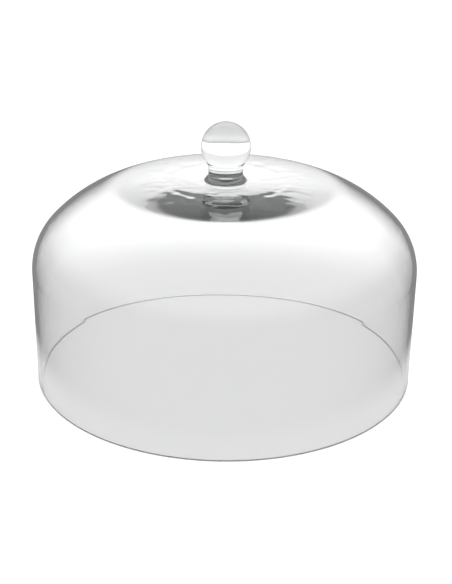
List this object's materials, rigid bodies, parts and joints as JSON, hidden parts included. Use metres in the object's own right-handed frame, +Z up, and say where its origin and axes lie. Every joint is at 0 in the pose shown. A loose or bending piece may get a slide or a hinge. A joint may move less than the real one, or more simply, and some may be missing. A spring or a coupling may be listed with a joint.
{
  "type": "glass cake dome",
  "caption": "Clear glass dome with a straight wall, low rounded crown and solid ball knob, set over a cake as a lift-off cover.",
  "frame": {"origin": "centre of the rim's resting plane, on the dome's axis", "axes": "+Z up along the dome's axis of revolution, from the mouth to the knob; X and Y are alike"},
  "size_m": [0.285, 0.285, 0.193],
  "materials": {
    "shell_glass": "clear blown glass, polished, ground rim",
    "wafer_glass": "clear solid glass, fire polished",
    "knob_glass": "clear solid glass, fire polished"
  },
  "bodies": {
    "root": {"dome_shell": "shell_glass", "knob_wafer": "wafer_glass", "ball_knob": "knob_glass"}
  },
  "joints": []
}
